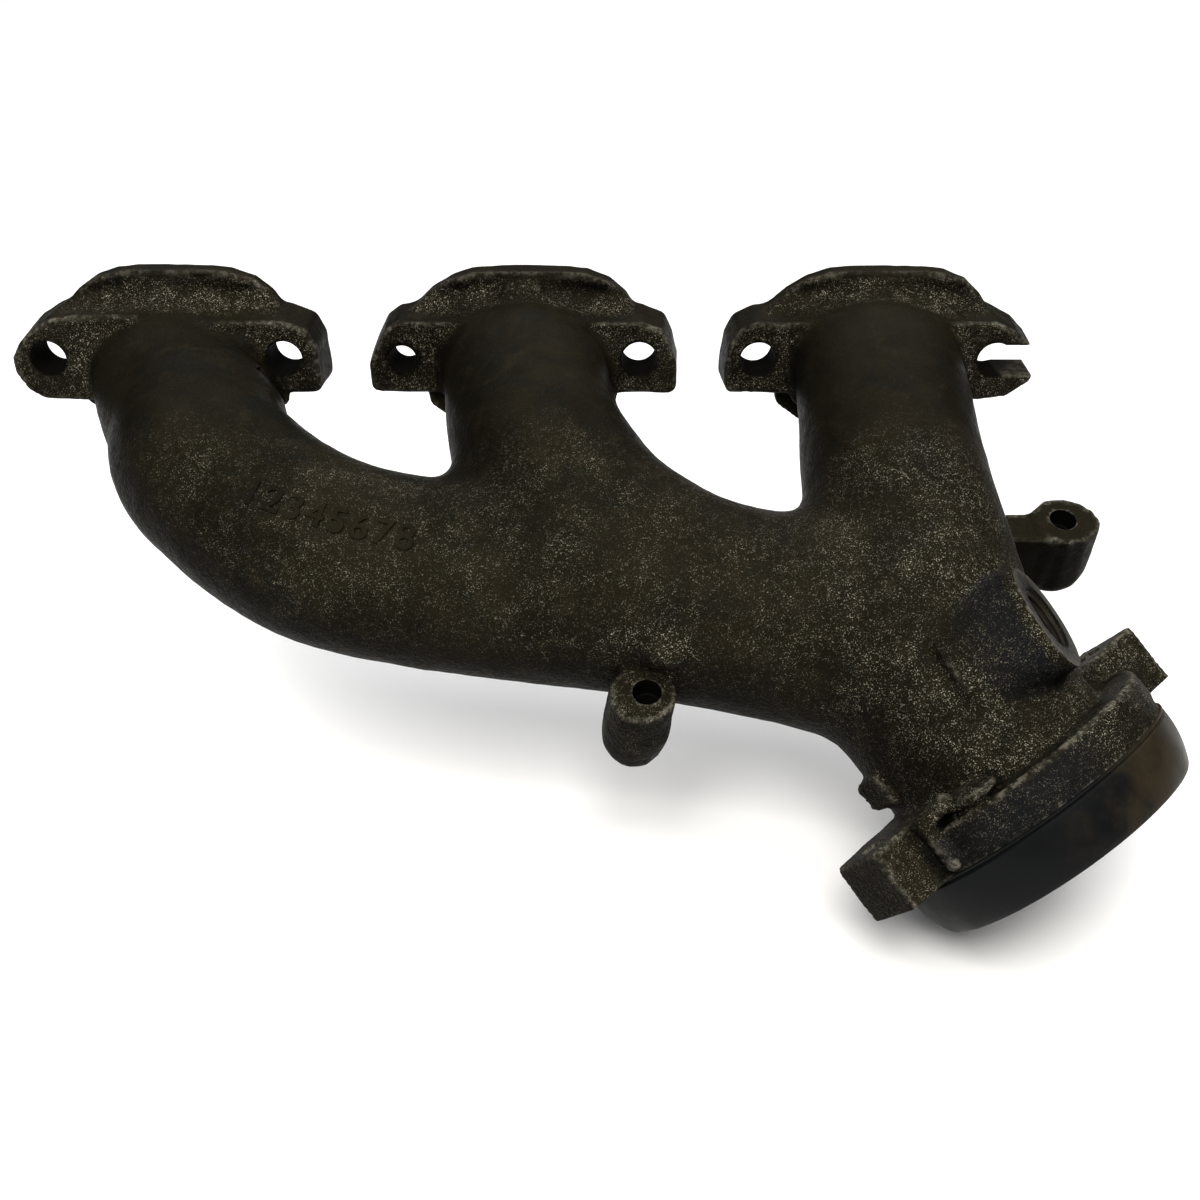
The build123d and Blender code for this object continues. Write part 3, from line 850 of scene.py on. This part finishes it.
def make_number():
    """Raised casting digits along the log, laid on the skin."""
    curve = bpy.data.curves.new("casting_number", "FONT")
    curve.body = "12345678"
    curve.size = 10.0
    curve.extrude = 0.5
    curve.bevel_depth = 0.15
    curve.space_character = 1.15
    text = bpy.data.objects.new("casting_text", curve)
    bpy.context.scene.collection.objects.link(text)
    mesh = bpy.data.meshes.new_from_object(text.evaluated_get(bpy.context.evaluated_depsgraph_get()))
    bpy.data.objects.remove(text)
    flat = vectors(mesh.vertices, "co")
    low, high = flat.min(0), flat.max(0)
    t = (flat[:, :1] - low[0]) / (high[0] - low[0])
    start, middle, end = NUMBER_PATH
    line = start * (1 - t) * (1 - 2 * t) + middle * 4 * t * (1 - t) + end * t * (2 * t - 1)
    along = start * (4 * t - 3) + middle * (4 - 8 * t) + end * (4 * t - 1)
    along /= np.linalg.norm(along, axis=1, keepdims=True)
    outward = np.cross(along, np.cross([0.0, -0.80, 0.60], along))
    outward /= np.linalg.norm(outward, axis=1, keepdims=True)
    upward = np.cross(outward, along)
    place = line + upward * ((flat[:, 1:2] - low[1]) / (high[1] - low[1]) - 0.5) * NUMBER_HEIGHT
    for _ in range(5):
        place = place - outward * in_batches(casting, place)[:, None]
    place = place + outward * (flat[:, 2:3] + 0.1)
    faces = [tuple(polygon.vertices) for polygon in mesh.polygons]
    bpy.data.meshes.remove(mesh)
    return new_object("casting_number", place, faces)


casting_obj = make_casting()
seat_obj = make_seat()
number_obj = make_number()
sensor_size = (SENSOR_THREAD_RADIUS, SENSOR_PITCH, SENSOR_THREAD_LENGTH, SENSOR_THREAD_DEPTH)
sensor_thread = make_thread("sensor_thread", SENSOR_CENTRE, SENSOR_AXIS, *sensor_size)
thread_lower = make_shield_thread("shield_thread_lower", SHIELD_LOWER)
thread_upper = make_shield_thread("shield_thread_upper", SHIELD_UPPER)
mark_surface(casting_obj)


# ---------------------------------------------------------------------------
# Materials
# ---------------------------------------------------------------------------
class Nodes:
    """Short calls for building a material's node tree."""

    def __init__(self, name):
        self.material = bpy.data.materials.new(name)
        self.material.use_nodes = True
        self.tree = self.material.node_tree
        self.shader = self.tree.nodes["Principled BSDF"]
        self.place = self.tree.nodes.new("ShaderNodeTexCoord").outputs["Object"]

    def node(self, kind, **values):
        made = self.tree.nodes.new(kind)
        for key, value in values.items():
            setattr(made, key, value)
        return made

    def link(self, source, target):
        if isinstance(source, bpy.types.NodeSocket):
            self.tree.links.new(source, target)
        else:
            target.default_value = source

    def noise(self, size_mm, detail=4.0, roughness=0.55, distortion=0.0):
        made = self.node("ShaderNodeTexNoise")
        self.link(self.place, made.inputs["Vector"])
        made.inputs["Scale"].default_value = 1.0 / (size_mm * MM)
        made.inputs["Detail"].default_value = detail
        made.inputs["Roughness"].default_value = roughness
        made.inputs["Distortion"].default_value = distortion
        return made.outputs["Fac"]

    def stored(self, name):
        made = self.node("ShaderNodeAttribute", attribute_name=name)
        return made.outputs["Fac"]

    def cells(self, size_mm):
        made = self.node("ShaderNodeTexVoronoi")
        self.link(self.place, made.inputs["Vector"])
        made.inputs["Scale"].default_value = 1.0 / (size_mm * MM)
        return made.outputs["Distance"]

    def ramp(self, source, low, high, to_low=0.0, to_high=1.0):
        made = self.node("ShaderNodeMapRange", interpolation_type="SMOOTHSTEP")
        self.link(source, made.inputs["Value"])
        made.inputs["From Min"].default_value = low
        made.inputs["From Max"].default_value = high
        made.inputs["To Min"].default_value = to_low
        made.inputs["To Max"].default_value = to_high
        return made.outputs["Result"]

    def math(self, operation, a, b):
        made = self.node("ShaderNodeMath", operation=operation)
        self.link(a, made.inputs[0])
        self.link(b, made.inputs[1])
        return made.outputs[0]

    def times(self, a, b):
        return self.math("MULTIPLY", a, b)

    def mix(self, amount, a, b):
        made = self.node("ShaderNodeMix", data_type="RGBA")
        self.link(amount, made.inputs[0])
        self.link(a if isinstance(a, bpy.types.NodeSocket) else (*a, 1.0), made.inputs[6])
        self.link(b if isinstance(b, bpy.types.NodeSocket) else (*b, 1.0), made.inputs[7])
        return made.outputs[2]

    def bump(self, height, distance_mm, strength=1.0, after=None):
        made = self.node("ShaderNodeBump")
        self.link(height, made.inputs["Height"])
        made.inputs["Distance"].default_value = distance_mm * MM
        made.inputs["Strength"].default_value = strength
        if after is not None:
            self.link(after, made.inputs["Normal"])
        return made.outputs["Normal"]


def cast_iron_material():
    """Oiled sand-cast skin: brown-black, blotched, speckled with painted highlight specks where it is rough,
    bright on rubbed edges, with painted shade in hollows, underneath and in holes.
    """
    n = Nodes("cast_iron")
    sand = n.stored("sand")
    wear = n.stored("wear")
    painted_shade = n.stored("painted_shade")
    cool = n.stored("cool")
    patches = n.noise(38.0, 3.0, 0.6)
    stain = n.noise(21.0, 4.0, 0.6, 0.6)
    blotches = n.noise(7.0, 5.0, 0.65)
    grain = n.noise(1.5, 3.0, 0.6)
    fine = n.noise(0.62, 2.0, 0.65)
    pits = n.cells(2.4)
    painted_speck_noise = n.noise(0.36, 1.5, 0.7)
    cloud = n.noise(16.0, 3.0, 0.6)
    color = n.mix(n.ramp(patches, 0.38, 0.64), (0.0046, 0.0040, 0.0023), (0.0080, 0.0067, 0.0037))
    color = n.mix(n.ramp(stain, 0.52, 0.70, 0.0, 0.7), color, (0.0036, 0.0042, 0.0034))
    color = n.mix(n.ramp(blotches, 0.50, 0.74, 0.0, 0.8), color, (0.0125, 0.0096, 0.0050))
    rough_skin = n.times(sand, n.ramp(blotches, 0.34, 0.60, 0.35, 1.0))
    rough_skin = n.times(rough_skin, n.ramp(cloud, 0.38, 0.60, 0.35, 1.0))
    color = n.mix(n.times(rough_skin, 0.35), color, (0.0135, 0.0115, 0.0068))
    color = n.mix(n.times(cool, 0.85), color, (0.0052, 0.0060, 0.0074))
    # painted highlight specks: bright beige specks in the base colour, mostly on rough skin, fewer on the
    # cool parts
    painted_highlight_specks = n.times(n.ramp(painted_speck_noise, 0.565, 0.69), n.ramp(grain, 0.38, 0.60, 0.12, 1.0))
    bright = n.times(painted_highlight_specks, n.math("ADD", 0.03, n.times(rough_skin, 0.97)))
    bright = n.times(bright, n.math("SUBTRACT", 1.0, n.times(cool, 0.6)))
    color = n.mix(bright, color, (0.44, 0.40, 0.305))
    crests = n.times(n.ramp(grain, 0.50, 0.70), n.times(rough_skin, 0.4))
    color = n.mix(crests, color, (0.024, 0.0205, 0.013))
    rubbed = n.times(wear, n.ramp(blotches, 0.36, 0.58, 0.2, 1.0))
    color = n.mix(n.times(rubbed, n.ramp(grain, 0.40, 0.60, 0.15, 0.9)), color, (0.120, 0.110, 0.086))
    # painted shade: hollows, undersides and holes darkened in the base colour
    color = n.mix(n.times(painted_shade, 0.8), color, (0.0012, 0.0011, 0.0008))
    n.link(color, n.shader.inputs["Base Color"])
    gloss = n.ramp(grain, 0.3, 0.75, 0.36, 0.58)
    n.link(n.math("ADD", gloss, n.times(sand, 0.08)), n.shader.inputs["Roughness"])
    n.shader.inputs["Specular IOR Level"].default_value = 0.013
    n.shader.inputs["Specular Tint"].default_value = (1.0, 0.9, 0.7, 1.0)
    coarse = n.bump(blotches, 0.55, 0.4)
    swell = n.times(grain, n.math("ADD", 0.25, n.times(sand, 0.75)))
    middle = n.bump(swell, 0.75, 0.8, coarse)
    dimples = n.times(n.ramp(pits, 0.0, 0.35), n.math("ADD", 0.3, n.times(sand, 0.7)))
    dents = n.bump(dimples, 0.24, 0.5, middle)
    n.link(n.bump(fine, 0.14, 0.6, dents), n.shader.inputs["Normal"])
    return n.material


def machined_iron_material(name, dark, light, metallic, specular, roughness):
    """Drilled or milled iron under an uneven film."""
    n = Nodes(name)
    film = n.noise(14.0, 4.0, 0.6)
    grain = n.noise(0.9, 3.0, 0.6)
    color = n.mix(n.ramp(film, 0.35, 0.68), dark, light)
    color = n.mix(n.ramp(grain, 0.55, 0.75, 0.0, 0.6), color, tuple(0.5 * c for c in dark))
    n.link(color, n.shader.inputs["Base Color"])
    n.shader.inputs["Metallic"].default_value = metallic
    n.shader.inputs["Specular IOR Level"].default_value = specular
    n.link(n.ramp(film, 0.3, 0.7, roughness, roughness + 0.14), n.shader.inputs["Roughness"])
    n.link(n.bump(grain, 0.06, 0.5), n.shader.inputs["Normal"])
    return n.material


def turned_iron_material():
    """Lathe lines run round the outlet's axis."""
    n = Nodes("turned_iron")
    film = n.noise(11.0, 4.0, 0.6)
    along = n.node("ShaderNodeVectorMath", operation="DOT_PRODUCT")
    n.link(n.place, along.inputs[0])
    along.inputs[1].default_value = tuple(OUTLET_AXIS)
    wave = n.node("ShaderNodeTexNoise", noise_dimensions="1D")
    n.link(n.times(along.outputs["Value"], 1.0 / (0.35 * MM)), wave.inputs["W"])
    wave.inputs["Scale"].default_value = 1.0
    wave.inputs["Detail"].default_value = 2.0
    across = n.node("ShaderNodeSeparateXYZ")
    n.link(n.place, across.inputs[0])
    # the seat runs from darker blue-grey on the left to lighter brown on the right, graded by world x
    left_to_right_tone = n.math("ADD", n.ramp(across.outputs["X"], 0.135, 0.185), n.ramp(film, 0.3, 0.7, -0.25, 0.25))
    color = n.mix(n.ramp(left_to_right_tone, 0.1, 0.9), (0.0034, 0.0037, 0.0040), (0.0190, 0.0140, 0.0075))
    color = n.mix(n.ramp(n.noise(3.0, 4.0, 0.7), 0.55, 0.75, 0.0, 0.5), color, (0.004, 0.0032, 0.0022))
    n.link(color, n.shader.inputs["Base Color"])
    n.shader.inputs["Specular IOR Level"].default_value = 0.05
    n.link(n.ramp(film, 0.3, 0.7, 0.34, 0.5), n.shader.inputs["Roughness"])
    lines = n.bump(wave.outputs["Fac"], 0.05, 0.6)
    n.link(n.bump(n.noise(1.5, 3.0), 0.08, 0.4, lines), n.shader.inputs["Normal"])
    return n.material


cast_iron = cast_iron_material()
machined_iron = machined_iron_material(
    "machined_iron", (0.045, 0.042, 0.037), (0.085, 0.075, 0.060), 0.4, 0.4, 0.36)
# hole walls and shield threads: near-black iron that paints the shade inside the holes
painted_hole_shade_iron = machined_iron_material(
    "painted_hole_shade_iron", (0.0030, 0.0029, 0.0027), (0.0040, 0.0036, 0.0030), 0.0, 0.006, 0.6)
thread_iron = machined_iron_material(
    "thread_iron", (0.0050, 0.0042, 0.0032), (0.013, 0.0105, 0.0075), 0.0, 0.05, 0.36)
turned_iron = turned_iron_material()
casting_obj.data.materials.clear()
for material in (cast_iron, machined_iron, painted_hole_shade_iron):
    casting_obj.data.materials.append(material)
sort_faces(casting_obj)
seat_obj.data.materials.append(turned_iron)
number_obj.data.materials.append(cast_iron)
sensor_thread.data.materials.append(thread_iron)
for piece in (thread_lower, thread_upper):
    piece.data.materials.append(painted_hole_shade_iron)

node_names = set(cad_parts)
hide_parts(*sorted(node_names - {"outlet_seat"}))
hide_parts("outlet_seat")
for piece in (casting_obj, seat_obj, number_obj, sensor_thread, thread_lower, thread_upper):
    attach(piece, "root")


# ---------------------------------------------------------------------------
# Floor, lights and camera
# ---------------------------------------------------------------------------
def make_floor(level):
    mesh = bpy.data.meshes.new("floor")
    corners = [(x * FLOOR_REACH, y * FLOOR_REACH, level) for x, y in ((-1, -1), (1, -1), (1, 1), (-1, 1))]
    mesh.from_pydata(corners, [], [(0, 1, 2, 3)])
    floor = bpy.data.objects.new("floor", mesh)
    bpy.context.scene.collection.objects.link(floor)
    n = Nodes("floor_white")
    n.shader.inputs["Base Color"].default_value = (0.9, 0.9, 0.9, 1.0)
    n.shader.inputs["Roughness"].default_value = 0.9
    mesh.materials.append(n.material)


def area_light(name, place, target, size, power, color):
    data = bpy.data.lights.new(name, "AREA")
    data.shape = "RECTANGLE"
    data.size, data.size_y = size
    data.energy = power
    data.color = color
    light = bpy.data.objects.new(name, data)
    bpy.context.scene.collection.objects.link(light)
    light.location = place
    light.rotation_euler = (Vector(target) - Vector(place)).to_track_quat("-Z", "Y").to_euler()


def make_camera():
    data = bpy.data.cameras.new("camera")
    data.lens = CAMERA_LENS
    data.sensor_width = 36.0
    data.clip_start = 0.01
    camera = bpy.data.objects.new("camera", data)
    bpy.context.scene.collection.objects.link(camera)
    camera.location = CAMERA_PLACE
    camera.rotation_euler = (math.radians(90.0 - CAMERA_TILT), 0.0, math.radians(CAMERA_TURN))
    bpy.context.scene.camera = camera


def make_world():
    world = bpy.data.worlds.new("studio")
    world.use_nodes = True
    background = world.node_tree.nodes["Background"]
    background.inputs["Color"].default_value = (1.0, 1.0, 1.0, 1.0)
    background.inputs["Strength"].default_value = WORLD_STRENGTH
    bpy.context.scene.world = world


make_floor(cad_box[0][2] - FLOOR_GAP)
area_light("ceiling", CEILING_PLACE, CEILING_TARGET, CEILING_SIZE, CEILING_POWER, (1.0, 1.0, 1.0))
area_light("key_front", KEY_PLACE, KEY_TARGET, KEY_SIZE, KEY_POWER, KEY_COLOR)
make_world()
make_camera()
bpy.context.scene.view_settings.view_transform = "Standard"
